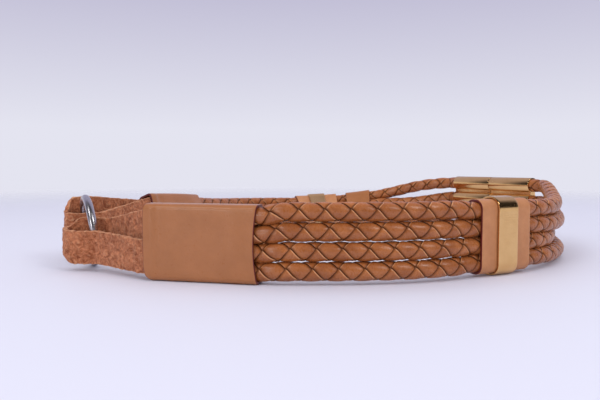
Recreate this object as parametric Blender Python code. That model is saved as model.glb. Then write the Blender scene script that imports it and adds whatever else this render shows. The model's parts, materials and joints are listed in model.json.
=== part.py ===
"""A man's belt of four braided leather cords, fastened round and standing on its lower edge.

The belt has two straps. Each is four round braided cords, glued at one end into a brass clasp half and at
the other end into a folded leather wrap. A suede strap leaves each wrap, passes through the same steel
ring and comes back into its wrap. The clasp halves hold each other by magnets. A leather cuff with a gilt
band keeps the cords of each strap together, and the back strap has a plain leather binding too.

+X is along the front strap, +Y runs from the front strap to the back strap and +Z is up. The plan of the
loop is drawn in millimetres for a loop of the drawn size, and is stretched with the loop. At the end the
whole belt is centred over the origin, resting at Z = 0.
"""

import math

import bmesh
import bpy
from mathutils import Vector

MM = 0.001
UP = Vector((0, 0, 1))

# The loop as it stands fastened, and the size for which its plan is drawn.
LOOP_WIDTH = 290 * MM
LOOP_DEPTH = 245 * MM
DRAWN_WIDTH = 290
DRAWN_DEPTH = 245
FIT_GAP = 0.3 * MM  # left between pieces that are glued or rest on each other

# The braided cords.
CORDS = 4
CORD_DIAMETER = 7.9 * MM
WRAP_PITCH = 8.25 * MM
FREE_PITCH = 8.8 * MM
FREE_RISE = 1.3 * MM
CLASP_PITCH = 11.2 * MM
CORD_STEP = 9 * MM

# The folded leather wrap at the ring end of each strap.
WRAP_LENGTH = 54.5 * MM
WRAP_WALL = 1.2 * MM
WRAP_CORNER = 3.6 * MM
CORD_GRIP = 24 * MM  # how far the cords reach into a wrap
STRAP_GRIP = 28 * MM  # how far a suede strap reaches into a wrap

# The leather cuffs with their gilt bands, and the plain binding.
CUFF_LENGTH = 32 * MM
CUFF_WALL = 1.2 * MM
BAND_LENGTH = 12.6 * MM
BAND_WALL = 0.9 * MM
BINDING_LENGTH = 19 * MM
FRONT_CUFF_START = 158 * MM
BACK_CUFF_START = 159 * MM
BINDING_START = 199 * MM

# The suede straps: heights are above the wrap's lower edge.
STRAP_THICKNESS = 2.6 * MM
STRAP_WIDE = 30 * MM
STRAP_NARROW = 16.8 * MM
STRAP_FOLD = 11 * MM  # from the ring's wire to where the fold's round begins
BACK_FOLD = 6 * MM

# The steel ring.
RING_DIAMETER = 37.4 * MM
RING_WIRE = 3.6 * MM
RING_CENTRE = (-127.2, -70.7)
RING_HEADING = 116.5
RING_TILT = 6.0
RING_ROOM = 0.6 * MM  # between the wire and the strap layer outside it
RING_REACH = 6.5 * MM  # from the wire's centre to the strap layer inside the ring

# The brass clasp.
CLASP_LENGTH = 71 * MM
CLASP_CENTRE = (126.5, 59.7)
CLASP_HEADING = 120
CLASP_WALL = 1.0 * MM
CLASP_WEB = 5.0 * MM
SOCKET_DEPTH = 15 * MM
MAGNET_DIAMETER = 7 * MM
MAGNET_LENGTH = 4 * MM

SOCKET_DIAMETER = CORD_DIAMETER + 2 * FIT_GAP
BARREL_DIAMETER = SOCKET_DIAMETER + 2 * CLASP_WALL
CLASP_HEIGHT = (CORDS - 1) * CLASP_PITCH + BARREL_DIAMETER
STACK_HEIGHT = (CORDS - 1) * WRAP_PITCH + CORD_DIAMETER
WRAP_HEIGHT = STACK_HEIGHT + 2 * (FIT_GAP + WRAP_WALL)
WRAP_THICKNESS = CORD_DIAMETER + 2 * (FIT_GAP + WRAP_WALL)
STRAP_OFFSET = (CORD_DIAMETER - STRAP_THICKNESS) / 2
CLASP_RISE = (CLASP_HEIGHT - WRAP_HEIGHT) / 2

# Each row is x and y in the drawn plan, and the strap's outward lean in degrees.
# The first row is the wrap's ring end, and the next follows after the wrap.
FRONT_HEADING = -12.8
FRONT_PLAN = (
    (-87.3, -107.5, 0),
    (-10, -121.6, 0),
    (10, -120.8, 0),
    (30, -117.8, 0),
    (48, -112, 0),
    (63, -104.2, 0),
    (74, -98.1, 0),
    (88, -90.3, 0),
    (99, -83.6, 0),
    (112, -71.5, 0),
    (122.5, -55, 0),
    (131.5, -36, 0),
    (139, -14, 0),
    (145, 6, 0),
)
BACK_HEADING = 62
BACK_PLAN = (
    (-109, -13, 20),
    (-72, 58, 45),
    (-58, 82, 50),
    (-38, 101, 54),
    (-15, 112, 56),
    (10, 116.5, 53),
    (36, 117, 44),
    (62, 113.5, 27),
    (86, 106, 8),
)
# How far each cord, from the lowest up, strays outward and upward halfway to its clasp half.
FRONT_STRAY_OUT = (1.5 * MM, -3.5 * MM, 1.5 * MM, 0.0)
FRONT_STRAY_UP = (-0.8 * MM, -1.0 * MM, -3.2 * MM, -3.0 * MM)
BACK_STRAY_OUT = (0.0, 0.0, 0.0, 0.0)
BACK_STRAY_UP = (0.0, -1.3 * MM, -2.8 * MM, 0.4 * MM)


def finish(name, colour, roughness, metallic=0.0):
    made = bpy.data.materials.new(name)
    made.use_nodes = True
    shader = made.node_tree.nodes["Principled BSDF"]
    shader.inputs["Base Color"].default_value = (*colour, 1)
    shader.inputs["Roughness"].default_value = roughness
    shader.inputs["Metallic"].default_value = metallic
    made.diffuse_color = (*colour, 1)
    return made


def add(name, data, made_of):
    """Links a new object that shows one material."""
    made = bpy.data.objects.new(name, data)
    made.data.materials.append(made_of)
    bpy.context.scene.collection.objects.link(made)
    return made


def mesh_object(name, mesh, made_of, sharp=50):
    """Links the bmesh as an object, with round faces shaded smooth."""
    bmesh.ops.recalc_face_normals(mesh, faces=mesh.faces[:])
    data = bpy.data.meshes.new(name)
    mesh.to_mesh(data)
    mesh.free()
    data.shade_smooth()
    data.set_sharp_from_angle(angle=math.radians(sharp))
    return add(name, data, made_of)


def solidify(made, thickness, offset):
    """Gives a surface its thickness: offset -1 grows it inwards, 0 to both sides."""
    modifier = made.modifiers.new("thickness", "SOLIDIFY")
    modifier.thickness = thickness
    modifier.offset = offset
    modifier.use_even_offset = True
    modifier.use_rim = True


def plan_point(x, y):
    return Vector((x * LOOP_WIDTH / DRAWN_WIDTH, y * LOOP_DEPTH / DRAWN_DEPTH, 0))


def heading(degrees):
    """The level direction at this angle from +X."""
    return Vector((math.cos(math.radians(degrees)), math.sin(math.radians(degrees)), 0))


def smoothstep(share):
    share = min(1.0, max(0.0, share))
    return share * share * (3 - 2 * share)


def spline(knots, values, at):
    """A smooth curve through values, one at each knot (a cubic with Catmull-Rom tangents)."""
    last = len(knots) - 1
    i = min(max(0, sum(knot <= at for knot in knots) - 1), last - 1)

    def tangent(k):
        before, after = max(0, k - 1), min(last, k + 1)
        return (values[after] - values[before]) / (knots[after] - knots[before])

    span = knots[i + 1] - knots[i]
    t = (at - knots[i]) / span
    return (
        values[i] * (2 * t**3 - 3 * t**2 + 1)
        + tangent(i) * (span * (t**3 - 2 * t**2 + t))
        + values[i + 1] * (3 * t**2 - 2 * t**3)
        + tangent(i + 1) * (span * (t**3 - t**2))
    )


class Route:
    """The middle of one strap, from its wrap's ring end to the bottom of its clasp sockets, by distance."""

    def __init__(self, plan, wrap_heading, outward, mouth, into_clasp, stations):
        start = plan_point(*plan[0][:2])
        wrap_way = heading(wrap_heading)
        self.points = [start + wrap_way * (WRAP_LENGTH * share) for share in (0, 0.5, 1.0, 1.15)]
        wrap_leans = [plan[0][2] + (plan[1][2] - plan[0][2]) * share * 0.7 for share in (0, 0.5, 1.0, 1.15)]
        self.leans = wrap_leans
        for x, y, lean in plan[1:]:
            self.points.append(plan_point(x, y))
            self.leans.append(lean)
        for beyond in (-8 * MM, 0, SOCKET_DEPTH):
            self.points.append(mouth + into_clasp * beyond)
            self.leans.append(0)
        self.outward = outward
        self.knots = [0.0]
        for a, b in zip(self.points, self.points[1:]):
            self.knots.append(self.knots[-1] + (b - a).length)
        self.end = self.knots[-1]
        self.mouth = self.end - SOCKET_DEPTH
        self.stations = [*stations, (self.mouth, CLASP_RISE, CLASP_PITCH)]

    def level(self, at):
        """The rise above the wraps' height and the pitch of the cords."""
        before = max((s for s in self.stations if s[0] <= at), default=self.stations[0])
        after = min((s for s in self.stations if s[0] > at), default=self.stations[-1])
        share = smoothstep((at - before[0]) / max(after[0] - before[0], FIT_GAP))
        return tuple(before[k] + (after[k] - before[k]) * share for k in (1, 2))

    def frame(self, at):
        """(centre, up, outward) of the strap: up lies in the plane of the stacked cords."""
        near, far = max(0.0, at - MM), min(self.end, at + MM)
        along = (spline(self.knots, self.points, far) - spline(self.knots, self.points, near)).normalized()
        side = along.cross(UP) * self.outward
        lean = math.radians(max(0.0, spline(self.knots, self.leans, at)))
        up = UP * math.cos(lean) + side * math.sin(lean)
        rise, _ = self.level(at)
        flat_height = WRAP_HEIGHT / 2 - WRAP_CORNER
        flat_width = WRAP_THICKNESS / 2 - WRAP_CORNER
        resting = flat_height * math.cos(lean) + flat_width * math.sin(lean) + WRAP_CORNER
        centre = spline(self.knots, self.points, at) + UP * (resting + rise)
        return centre, up, side * math.cos(lean) - UP * math.sin(lean)


def rounded_oblong(half_width, half_height, corner, steps=4):
    """The outline of a rectangle with round corners, as (across, up) pairs."""
    corner = min(corner, half_width - FIT_GAP, half_height - FIT_GAP)
    outline = []
    for quarter, (sx, sy) in enumerate(((1, 1), (-1, 1), (-1, -1), (1, -1))):
        for k in range(steps + 1):
            angle = math.radians(90) * (quarter + k / steps)
            across = sx * (half_width - corner) + corner * math.cos(angle)
            outline.append((across, sy * (half_height - corner) + corner * math.sin(angle)))
    return outline


def sleeve(name, route, start, length, outside, wall, made_of, step=8 * MM):
    """A flat tube round the strap: rounded oblongs bridged along the route, grown inwards to its wall."""
    thickness, height, corner = outside
    mesh = bmesh.new()
    count = math.ceil(length / step)
    loops = []
    for k in range(count + 1):
        centre, up, side = route.frame(start + length * k / count)
        ring = [
            mesh.verts.new(centre + side * across + up * along)
            for across, along in rounded_oblong(thickness / 2, height / 2, corner)
        ]
        loops.append([mesh.edges.new(pair) for pair in zip(ring, ring[1:] + ring[:1])])
    for before, after in zip(loops, loops[1:]):
        bmesh.ops.bridge_loops(mesh, edges=before + after)
    made = mesh_object(name, mesh, made_of)
    solidify(made, wall, -1)
    return made


def make_cords(strap, route, stray_from, stray_out, stray_up, made_of):
    """The round cords, from inside the wrap to the bottom of the clasp's sockets."""
    start = WRAP_LENGTH - CORD_GRIP
    stop = route.end - FIT_GAP
    count = math.ceil((stop - start) / CORD_STEP)
    for which in range(CORDS):
        curve = bpy.data.curves.new(f"{strap}_cord_{which + 1}", "CURVE")
        curve.dimensions = "3D"
        curve.twist_mode = "Z_UP"
        curve.bevel_depth = CORD_DIAMETER / 2
        curve.bevel_resolution = 3
        curve.use_fill_caps = True
        line = curve.splines.new("POLY")
        line.points.add(count)
        for k, point in enumerate(line.points):
            at = start + (stop - start) * k / count
            centre, up, side = route.frame(at)
            _, pitch = route.level(at)
            share = min(1.0, max(0.0, (at - stray_from) / (route.mouth - stray_from)))
            swell = (1 - math.cos(2 * math.pi * share)) / 2
            climb = (which - (CORDS - 1) / 2) * pitch + stray_up[which] * swell
            point.co = (*(centre + up * climb + side * stray_out[which] * swell), 1)
        add(curve.name, curve, made_of)


def make_cuff(strap, route, start, leather, gilt):
    """A leather cuff round the cords and the gilt band pressed over its middle."""
    lining = 2 * (FIT_GAP + CUFF_WALL)
    outside = (CORD_DIAMETER + lining, STACK_HEIGHT + lining, CORD_DIAMETER / 2 + CUFF_WALL)
    sleeve(f"{strap}_cuff", route, start, CUFF_LENGTH, outside, CUFF_WALL, leather, 6 * MM)
    grow = 2 * (FIT_GAP + BAND_WALL)
    over = (outside[0] + grow, outside[1] + grow, outside[2] + grow / 2)
    band_start = start + (CUFF_LENGTH - BAND_LENGTH) / 2
    sleeve(f"{strap}_gilt_band", route, band_start, BAND_LENGTH, over, BAND_WALL, gilt, 6 * MM)


def make_wrap(strap, route, leather, filler):
    """The folded wrap, and the leather packing between the two layers of suede inside it."""
    outside = (WRAP_THICKNESS, WRAP_HEIGHT, WRAP_CORNER)
    sleeve(f"{strap}_wrap", route, 0, WRAP_LENGTH, outside, WRAP_WALL, leather)
    mesh = bmesh.new()
    rows = []
    for share in (0.2, 0.55, 0.92):
        centre, up, _ = route.frame(STRAP_GRIP * share)
        rows.append([mesh.verts.new(centre + up * (STRAP_WIDE / 2 * end)) for end in (-1, 1)])
    for (a, b), (c, d) in zip(rows, rows[1:]):
        mesh.faces.new((a, b, d, c))
    packing = mesh_object(f"{strap}_packing", mesh, filler)
    solidify(packing, 2 * STRAP_OFFSET - STRAP_THICKNESS - 4 * FIT_GAP, 0)


def make_suede(strap, route, wire, strap_way, inward, fold, passes, made_of):
    """The suede strap: out of the wrap, past the ring's wire, round, through the ring and back.

    strap_way is the strap's direction at the ring, inward the level direction square to it that points
    into the ring, and passes the heights (low, high) at the wrap outside, outside the wire, at the tip
    of the fold, inside the ring, and at the wrap inside.
    """
    outside = RING_WIRE / 2 + RING_ROOM + STRAP_THICKNESS / 2
    radius = (outside + RING_REACH) / 2
    middle = wire + strap_way * fold + inward * (RING_REACH - outside) / 2
    at_wrap, at_wire, at_tip, in_ring, into_wrap = passes

    def in_wrap(grip, offset, heights):
        centre, up, side = route.frame(grip)
        base = centre + side * offset - up * WRAP_HEIGHT / 2
        return base + up * heights[0], base + up * heights[1]

    def free(place, heights):
        return place + UP * heights[0], place + UP * heights[1]

    def between(first, second):
        """The heights that lie halfway, and the place beside the wire before it."""
        return tuple((a + b) / 2 for a, b in zip(first, second))

    rows = [in_wrap(STRAP_GRIP * share, STRAP_OFFSET, at_wrap) for share in (1, 0.5, 0.15, 0)]
    before_wire = strap_way * (-4 * MM)
    rows.append(free(wire + before_wire - inward * outside, at_wire))
    rows.append(free(wire + strap_way * (4 * MM) - inward * outside, at_wire))
    for k in range(7):
        angle = math.pi * k / 6
        place = middle - inward * (radius * math.cos(angle)) + strap_way * (radius * math.sin(angle))
        rows.append(free(place, (at_wire, between(at_wire, at_tip), at_tip, at_tip, at_tip,
                                 between(at_tip, in_ring), in_ring)[k]))
    rows.append(free(wire + inward * RING_REACH, in_ring))
    rows.append(free(wire + before_wire * 1.6 + inward * RING_REACH * 0.95, in_ring))
    rows += [in_wrap(STRAP_GRIP * share, -STRAP_OFFSET, into_wrap) for share in (0, 0.15, 0.5, 1)]

    lows, highs = [row[0] for row in rows], [row[1] for row in rows]
    knots = [0.0]
    for a, b in zip(lows, lows[1:]):
        knots.append(knots[-1] + (b.xy - a.xy).length)
    mesh = bmesh.new()
    columns = []
    for a, b in zip(knots, knots[1:]):
        steps = max(1, round((b - a) / (5 * MM)))
        for k in range(steps):
            at = a + (b - a) * k / steps
            columns.append((spline(knots, lows, at), spline(knots, highs, at)))
    columns.append((lows[-1], highs[-1]))
    made = [[mesh.verts.new(low), mesh.verts.new(high)] for low, high in columns]
    for (a, b), (c, d) in zip(made, made[1:]):
        mesh.faces.new((a, b, d, c))
    solidify(mesh_object(f"{strap}_suede_strap", mesh, made_of), STRAP_THICKNESS, 0)


def make_ring(steel):
    centre = plan_point(*RING_CENTRE)
    bpy.ops.mesh.primitive_torus_add(
        major_segments=40,
        minor_segments=12,
        major_radius=(RING_DIAMETER - RING_WIRE) / 2,
        minor_radius=RING_WIRE / 2,
    )
    ring = bpy.context.object
    ring.name = "ring"
    ring.data.materials.append(steel)
    ring.data.shade_smooth()
    ring.rotation_euler = (math.radians(90 - RING_TILT), 0, math.radians(RING_HEADING))
    ring.location = centre + UP * (RING_DIAMETER / 2)
    return ring


def clasp_outline():
    """Four barrels in a row joined by webs, as (across, up) pairs from the lowest point round."""
    radius = BARREL_DIAMETER / 2
    neck = math.degrees(math.asin(CLASP_WEB / BARREL_DIAMETER))
    right = []
    for which in range(CORDS):
        start = -90 if which == 0 else neck - 90
        stop = 90 if which == CORDS - 1 else 90 - neck
        for k in range(9):
            angle = math.radians(start + (stop - start) * k / 8)
            height = (which - (CORDS - 1) / 2) * CLASP_PITCH + radius * math.sin(angle)
            right.append((radius * math.cos(angle), height))
    return right + [(-across, height) for across, height in reversed(right[1:-1])]


def drill(name, centre, way, depth, diameter, body):
    """One cutter for the four round holes that go depth deep from the plane at centre."""
    mesh = bmesh.new()
    side = way.cross(UP)
    for which in range(CORDS):
        middle = centre + UP * ((which - (CORDS - 1) / 2) * CLASP_PITCH)
        loops = []
        for along in (-2 * MM, depth):
            ring = []
            for k in range(12):
                angle = 2 * math.pi * k / 12
                offset = side * math.cos(angle) + UP * math.sin(angle)
                ring.append(mesh.verts.new(middle + way * along + offset * (diameter / 2)))
            mesh.faces.new(ring)
            loops.append(ring)
        for k in range(12):
            n = (k + 1) % 12
            mesh.faces.new((loops[0][k], loops[0][n], loops[1][n], loops[1][k]))
    cutter = mesh_object(name, mesh, body.data.materials[0])
    cutter.hide_render = True
    cutter.display_type = "WIRE"
    modifier = body.modifiers.new(name, "BOOLEAN")
    modifier.operation = "DIFFERENCE"
    modifier.object = cutter


def make_clasp_half(strap, mouth, into, brass, steel):
    """Half of the clasp: a barrel for each cord, with a socket behind and a magnet in the meeting face."""
    length = (CLASP_LENGTH - FIT_GAP) / 2
    side = into.cross(UP)
    base = mouth + UP * (CLASP_HEIGHT / 2)
    mesh = bmesh.new()
    ends = []
    for along in (0, length):
        ends.append([mesh.verts.new(base + into * along + side * x + UP * z) for x, z in clasp_outline()])
    mesh.faces.new(ends[0])
    mesh.faces.new(ends[1])
    for k in range(len(ends[0])):
        n = (k + 1) % len(ends[0])
        mesh.faces.new((ends[0][k], ends[0][n], ends[1][n], ends[1][k]))
    body = mesh_object(f"{strap}_clasp_half", mesh, brass)
    drill(f"{strap}_sockets", base, into, SOCKET_DEPTH, SOCKET_DIAMETER, body)
    face = base + into * length
    pocket = MAGNET_LENGTH + 2 * FIT_GAP
    drill(f"{strap}_pockets", face, -into, pocket, MAGNET_DIAMETER + 2 * FIT_GAP, body)
    for which in range(CORDS):
        bpy.ops.mesh.primitive_cylinder_add(vertices=12, radius=MAGNET_DIAMETER / 2, depth=MAGNET_LENGTH)
        magnet = bpy.context.object
        magnet.name = f"{strap}_magnet_{which + 1}"
        magnet.data.materials.append(steel)
        magnet.rotation_euler = into.to_track_quat("Z", "Y").to_euler()
        height = (which - (CORDS - 1) / 2) * CLASP_PITCH
        magnet.location = face - into * (MAGNET_LENGTH / 2 + FIT_GAP) + UP * height


def hang_on(name, place, prefix):
    """Parents the pieces of one moving body to an empty on its joint's upright axis."""
    pivot = bpy.data.objects.new(name, None)
    pivot.location = place
    bpy.context.scene.collection.objects.link(pivot)
    for made in bpy.data.objects:
        if made.name.startswith(prefix) and made is not pivot:
            made.parent = pivot
            made.location = made.location - place


def centre_over_origin():
    """Moves everything so that the belt's box stands centred over the origin."""
    bpy.context.view_layer.update()
    graph = bpy.context.evaluated_depsgraph_get()
    corners = []
    for made in bpy.data.objects:
        if made.type in ("MESH", "CURVE") and not made.hide_render:
            shown = made.evaluated_get(graph)
            mesh = shown.to_mesh()
            corners += [shown.matrix_world @ vertex.co for vertex in mesh.vertices]
            shown.to_mesh_clear()
    low = Vector([min(corner[k] for corner in corners) for k in range(3)])
    high = Vector([max(corner[k] for corner in corners) for k in range(3)])
    shift = Vector((-(low.x + high.x) / 2, -(low.y + high.y) / 2, -low.z))
    for made in bpy.data.objects:
        if made.parent is None:
            made.location = made.location + shift
    return shift


def build():
    for old in list(bpy.data.objects):
        bpy.data.objects.remove(old, do_unlink=True)
    cord = finish("braided leather", (0.36, 0.16, 0.06), 0.35)
    smooth = finish("smooth leather", (0.40, 0.19, 0.075), 0.4)
    pale = finish("pale leather", (0.45, 0.22, 0.11), 0.45)
    suede = finish("suede", (0.34, 0.15, 0.08), 0.95)
    filler = finish("packing leather", (0.30, 0.14, 0.07), 0.8)
    gilt = finish("gilt brass", (0.80, 0.58, 0.27), 0.22, 1.0)
    steel = finish("polished steel", (0.62, 0.61, 0.63), 0.2, 1.0)
    magnet = finish("plated magnet", (0.55, 0.55, 0.56), 0.3, 1.0)

    clasp_way = heading(CLASP_HEADING)
    clasp_middle = plan_point(*CLASP_CENTRE)
    front_mouth = clasp_middle - clasp_way * (CLASP_LENGTH / 2)
    back_mouth = clasp_middle + clasp_way * (CLASP_LENGTH / 2)
    cuff_end = FRONT_CUFF_START + CUFF_LENGTH
    bound_end = BINDING_START + BINDING_LENGTH
    front = Route(
        FRONT_PLAN,
        FRONT_HEADING,
        1,
        front_mouth,
        clasp_way,
        (
            (0, 0, WRAP_PITCH),
            (WRAP_LENGTH, 0, WRAP_PITCH),
            (WRAP_LENGTH + 12 * MM, FREE_RISE, FREE_PITCH),
            (FRONT_CUFF_START - 12 * MM, FREE_RISE, FREE_PITCH),
            (FRONT_CUFF_START, BAND_WALL + FIT_GAP, WRAP_PITCH),
            (cuff_end, BAND_WALL + FIT_GAP, WRAP_PITCH),
        ),
    )
    back = Route(
        BACK_PLAN,
        BACK_HEADING,
        -1,
        back_mouth,
        -clasp_way,
        (
            (0, 0, WRAP_PITCH),
            (WRAP_LENGTH, 0, WRAP_PITCH),
            (BACK_CUFF_START, BAND_WALL + FIT_GAP, WRAP_PITCH),
            (bound_end, BAND_WALL + FIT_GAP, WRAP_PITCH),
        ),
    )

    make_cords("front", front, cuff_end, FRONT_STRAY_OUT, FRONT_STRAY_UP, cord)
    make_wrap("front", front, smooth, filler)
    make_cuff("front", front, FRONT_CUFF_START, pale, gilt)
    make_clasp_half("front", front_mouth, clasp_way, gilt, magnet)

    make_cords("back", back, bound_end, BACK_STRAY_OUT, BACK_STRAY_UP, cord)
    make_wrap("back", back, smooth, filler)
    make_cuff("back", back, BACK_CUFF_START, pale, gilt)
    lining = 2 * (FIT_GAP + CUFF_WALL)
    outside = (CORD_DIAMETER + lining, STACK_HEIGHT + lining, CORD_DIAMETER / 2 + CUFF_WALL)
    sleeve("back_binding", back, BINDING_START, BINDING_LENGTH, outside, CUFF_WALL, smooth, 5 * MM)
    make_clasp_half("back", back_mouth, -clasp_way, gilt, magnet)

    make_ring(steel)
    reach = heading(RING_HEADING) * ((RING_DIAMETER - RING_WIRE) / 2)
    near_wire = plan_point(*RING_CENTRE) - reach
    far_wire = plan_point(*RING_CENTRE) + reach
    margin = (WRAP_HEIGHT - STRAP_WIDE) / 2
    ring_low = 9.4 * MM
    make_suede(
        "front",
        front,
        near_wire,
        heading(171),
        heading(81),
        STRAP_FOLD,
        (
            (margin, margin + STRAP_NARROW - 1.0 * MM),
            (4 * MM, 20.4 * MM),
            (8.5 * MM, 21.6 * MM),
            (ring_low, ring_low + STRAP_NARROW),
            (margin, margin + STRAP_WIDE),
        ),
        suede,
    )
    make_suede(
        "back",
        back,
        far_wire,
        heading(226),
        heading(316),
        BACK_FOLD,
        (
            (margin + 8 * MM, margin + STRAP_WIDE),
            (16 * MM, 35.6 * MM),
            (18 * MM, 30 * MM),
            (10.4 * MM, 10.4 * MM + STRAP_NARROW),
            (margin + 2 * MM, margin + STRAP_WIDE),
        ),
        suede,
    )

    hang_on("ring_pivot", near_wire, "ring")
    hang_on("back_pivot", far_wire, "back_")
    shift = centre_over_origin()
    for name, place in (("ring axis", near_wire), ("back axis", far_wire), ("clasp middle", clasp_middle)):
        print(name, *(round(value, 5) for value in place + shift))
    middle, _, _ = front.frame(WRAP_LENGTH / 2)
    print("front wrap middle", *(round(value, 5) for value in middle + shift))


build()
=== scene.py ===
import json
import math

import bpy
import numpy as np
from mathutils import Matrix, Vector


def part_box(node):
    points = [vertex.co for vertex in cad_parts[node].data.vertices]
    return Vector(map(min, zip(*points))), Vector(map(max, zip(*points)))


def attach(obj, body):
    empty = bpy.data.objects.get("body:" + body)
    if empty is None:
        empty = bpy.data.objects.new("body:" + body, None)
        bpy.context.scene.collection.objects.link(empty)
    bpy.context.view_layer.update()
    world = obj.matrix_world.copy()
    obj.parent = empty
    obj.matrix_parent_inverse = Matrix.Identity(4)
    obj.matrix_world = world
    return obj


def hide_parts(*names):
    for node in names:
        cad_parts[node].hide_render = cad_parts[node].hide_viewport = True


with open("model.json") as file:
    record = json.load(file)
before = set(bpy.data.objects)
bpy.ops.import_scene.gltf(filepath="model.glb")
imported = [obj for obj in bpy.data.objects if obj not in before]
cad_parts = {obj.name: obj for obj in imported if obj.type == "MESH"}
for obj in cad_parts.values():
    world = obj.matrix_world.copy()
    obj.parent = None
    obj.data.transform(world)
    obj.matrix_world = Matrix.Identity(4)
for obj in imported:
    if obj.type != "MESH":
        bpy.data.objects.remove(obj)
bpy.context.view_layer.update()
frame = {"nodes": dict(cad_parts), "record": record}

# --- The table, the light and the camera -------------------------------------------------------------
# The belt stands on a pale table in front of a pale wall, under one wide soft lamp and three small ones.
# The camera looks over the belt's top edge from about 26 cm in front of it.
MM = 0.001
FLOOR_COLOUR = (0.74, 0.735, 0.84, 1)
FLOOR_NEAR, FLOOR_FAR = 0.42, 1.1  # where the table starts to fade and where it ends
WALL_LOW = (0.775, 0.775, 0.871, 1)
WALL_HIGH = (0.50, 0.48, 0.64, 1)
WALL_FADE = (0.06, 0.30)  # how high the wall starts to darken and where it ends, 1 being overhead
CEILING = (0.02, 0.018, 0.02, 1)
CEILING_RISE = (0.03, 0.12)  # how high the dark ceiling begins behind the camera
CEILING_DEPTH = (0.0, 0.35)  # how far ahead of overhead it fades away
FILL_COLOUR, FILL_STRENGTH = (0.90, 0.91, 1.0, 1), 0.75
EYE = Vector((-20.5, -388.5, 53.0)) * MM
EYE_DIP = 3.34  # degrees
LENS = 36

scene = bpy.context.scene
scene.view_settings.view_transform = "Standard"
bpy.ops.object.select_all(action="DESELECT")


def node_tree(owner):
    """An owner's node tree, emptied."""
    owner.use_nodes = True
    owner.node_tree.nodes.clear()
    return owner.node_tree


def node(tree, kind, values=None, **settings):
    """Adds a node with its settings, and sets or links its inputs."""
    made = tree.nodes.new(kind)
    for key, value in settings.items():
        setattr(made, key, value)
    for key, value in (values or {}).items():
        if isinstance(value, bpy.types.NodeSocket):
            tree.links.new(value, made.inputs[key])
        else:
            made.inputs[key].default_value = value
    return made


def ranged(tree, value, start, stop, low=0.0, high=1.0, **settings):
    """A number that goes from low to high as the value goes from start to stop."""
    values = {0: value, 1: start, 2: stop, 3: low, 4: high}
    return node(tree, "ShaderNodeMapRange", values, **settings).outputs[0]


def mixed(tree, share, none, full):
    """A colour that turns from one into another as share goes from 0 to 1."""
    return node(tree, "ShaderNodeMix", {0: share, 6: none, 7: full}, data_type="RGBA").outputs[2]


def noise(tree, place, scale, detail, roughness, distortion=0.0):
    """Cloudy noise over a piece, from 0 to 1."""
    values = {"Scale": scale, "Detail": detail, "Roughness": roughness, "Distortion": distortion}
    return node(tree, "ShaderNodeTexNoise", {"Vector": place, **values}).outputs[0]


world = bpy.data.worlds.new("studio")
scene.world = world
tree = node_tree(world)
toward = node(tree, "ShaderNodeTexCoord").outputs["Generated"]
ahead = node(tree, "ShaderNodeSeparateXYZ", {0: toward})
wall = mixed(tree, ranged(tree, ahead.outputs["Z"], *WALL_FADE), WALL_LOW, WALL_HIGH)
high_up = ranged(tree, ahead.outputs["Z"], *CEILING_RISE)
near_side = ranged(tree, ahead.outputs["Y"], *CEILING_DEPTH, 1.0, 0.0)
unlit = node(tree, "ShaderNodeMath", {0: high_up, 1: near_side}, operation="MULTIPLY")
room = mixed(tree, unlit.outputs[0], wall, CEILING)
seen = node(tree, "ShaderNodeBackground", {"Color": room, "Strength": 1.0})
fill = node(tree, "ShaderNodeBackground", {"Color": FILL_COLOUR, "Strength": FILL_STRENGTH})
path = node(tree, "ShaderNodeLightPath")
direct = node(
    tree,
    "ShaderNodeMath",
    {0: path.outputs["Is Camera Ray"], 1: path.outputs["Is Glossy Ray"]},
    operation="MAXIMUM",
)
choice = node(tree, "ShaderNodeMixShader", {0: direct.outputs[0], 1: fill.outputs[0], 2: seen.outputs[0]})
node(tree, "ShaderNodeOutputWorld", {"Surface": choice.outputs[0]})

bpy.ops.mesh.primitive_circle_add(vertices=96, radius=FLOOR_FAR, fill_type="NGON", location=(0, 0, 0))
floor = bpy.context.object
floor.name = "table_top"
table_finish = bpy.data.materials.new("table finish")
tree = node_tree(table_finish)
plain = node(tree, "ShaderNodeBsdfPrincipled", {"Base Color": FLOOR_COLOUR, "Roughness": 0.6})
clear = node(tree, "ShaderNodeBsdfTransparent")
spot = node(tree, "ShaderNodeTexCoord")
radius = node(tree, "ShaderNodeVectorMath", {0: spot.outputs["Object"]}, operation="LENGTH")
fade = ranged(tree, radius.outputs["Value"], FLOOR_NEAR, FLOOR_FAR, interpolation_type="SMOOTHSTEP")
surface = node(tree, "ShaderNodeMixShader", {0: fade, 1: plain.outputs[0], 2: clear.outputs[0]})
node(tree, "ShaderNodeOutputMaterial", {"Surface": surface.outputs[0]})
floor.data.materials.append(table_finish)


def lamp(name, place, aim, size, power, mirrored=True):
    """A square soft lamp that looks at a point. Shiny surfaces show it only if it is mirrored."""
    data = bpy.data.lights.new(name, "AREA")
    data.size = size
    data.energy = power
    made = bpy.data.objects.new(name, data)
    made.visible_glossy = mirrored
    made.location = place
    made.rotation_mode = "QUATERNION"
    made.rotation_quaternion = (Vector(aim) - Vector(place)).to_track_quat("-Z", "Y")
    scene.collection.objects.link(made)


lamp("overhead", (0.1, 0.05, 1.35), (0, 0, 0), size=1.7, power=5.6, mirrored=False)
lamp("left", (-0.75, -0.75, 1.0), (0, -0.05, 0.02), size=0.45, power=3.0)
lamp("strip", (-0.66, -0.95, 0.30), (-0.06, -0.12, 0.02), size=0.22, power=1.3)
lamp("right", (0.75, -0.7, 0.9), (0, -0.05, 0.02), size=0.4, power=3.2)

eye_data = bpy.data.cameras.new("eye")
eye_data.lens = LENS
eye = bpy.data.objects.new("eye", eye_data)
eye.location = EYE
eye.rotation_euler = (math.radians(90 - EYE_DIP), 0, 0)
scene.collection.objects.link(eye)
scene.camera = eye

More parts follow.
